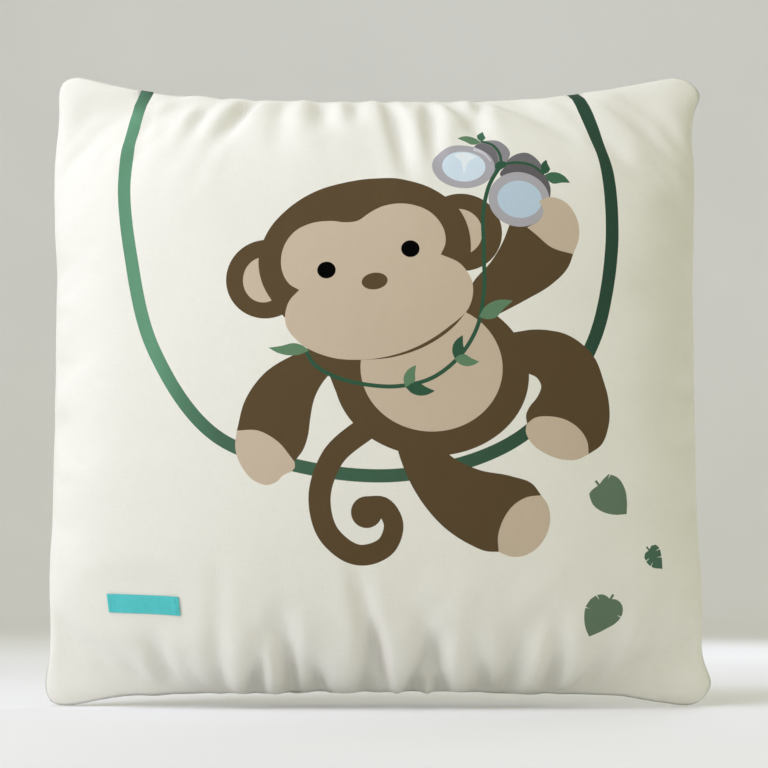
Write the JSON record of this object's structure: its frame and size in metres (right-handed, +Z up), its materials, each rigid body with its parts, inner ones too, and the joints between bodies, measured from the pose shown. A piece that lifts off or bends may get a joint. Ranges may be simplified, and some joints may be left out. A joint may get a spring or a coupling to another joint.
{
  "type": "throw cushion",
  "caption": "Square fibre-filled throw cushion with a printed cartoon monkey front, a zipped cotton cover and a loose inner pad.",
  "frame": {"origin": "under the middle of the cushion, at the height of its two bottom corners", "axes": "+X along the width (to the right as the printed face is looked at), +Y through the thickness from the printed face to the back, +Z up"},
  "size_m": [0.438, 0.14, 0.4261],
  "materials": {
    "printed_cotton": "off-white plain-weave cotton with a flat printed motif",
    "plain_cotton": "off-white plain-weave cotton",
    "thread": "spun polyester sewing thread",
    "zip_tape": "woven polyester tape",
    "zip_coil": "nylon coil",
    "zip_metal": "nickel-plated die casting",
    "label_teal": "woven damask label, blank",
    "label_white": "white satin tape, blank",
    "insert_fabric": "white non-woven polypropylene",
    "fibre": "loose polyester fibre"
  },
  "bodies": {
    "cushion": {"front_panel": "printed_cotton", "back_panel_upper": "plain_cotton", "back_panel_lower": "plain_cotton", "seam_overlock": "thread", "zip_tape_upper": "zip_tape", "zip_tape_lower": "zip_tape", "zip_coil_upper": "zip_coil", "zip_coil_lower": "zip_coil", "zip_top_stops": "zip_metal", "zip_bottom_stop": "zip_metal", "zip_stitching_upper": "thread", "zip_stitching_lower": "thread", "zip_bar_tacks": "thread", "woven_label": "label_teal", "care_label": "label_white", "insert_front": "insert_fabric", "insert_back": "insert_fabric", "insert_closing_seam": "thread", "fibre_fill": "fibre"},
    "slider": {"zip_slider": "zip_metal"},
    "pull": {"zip_pull_tab": "zip_metal"}
  },
  "joints": [
    {"name": "zip_travel", "type": "hinge", "parent": "cushion", "child": "slider", "pos_m": [0, -0.69667, 0.072], "axis": [0, 0, 1], "range_deg": [0, 21.24]},
    {"name": "pull_tab_swing", "type": "hinge", "parent": "slider", "child": "pull", "pos_m": [0.13884, 0.04389, 0.07101], "axis": [-0.051, -0.271, -0.9612], "range_deg": [0, 170]}
  ]
}
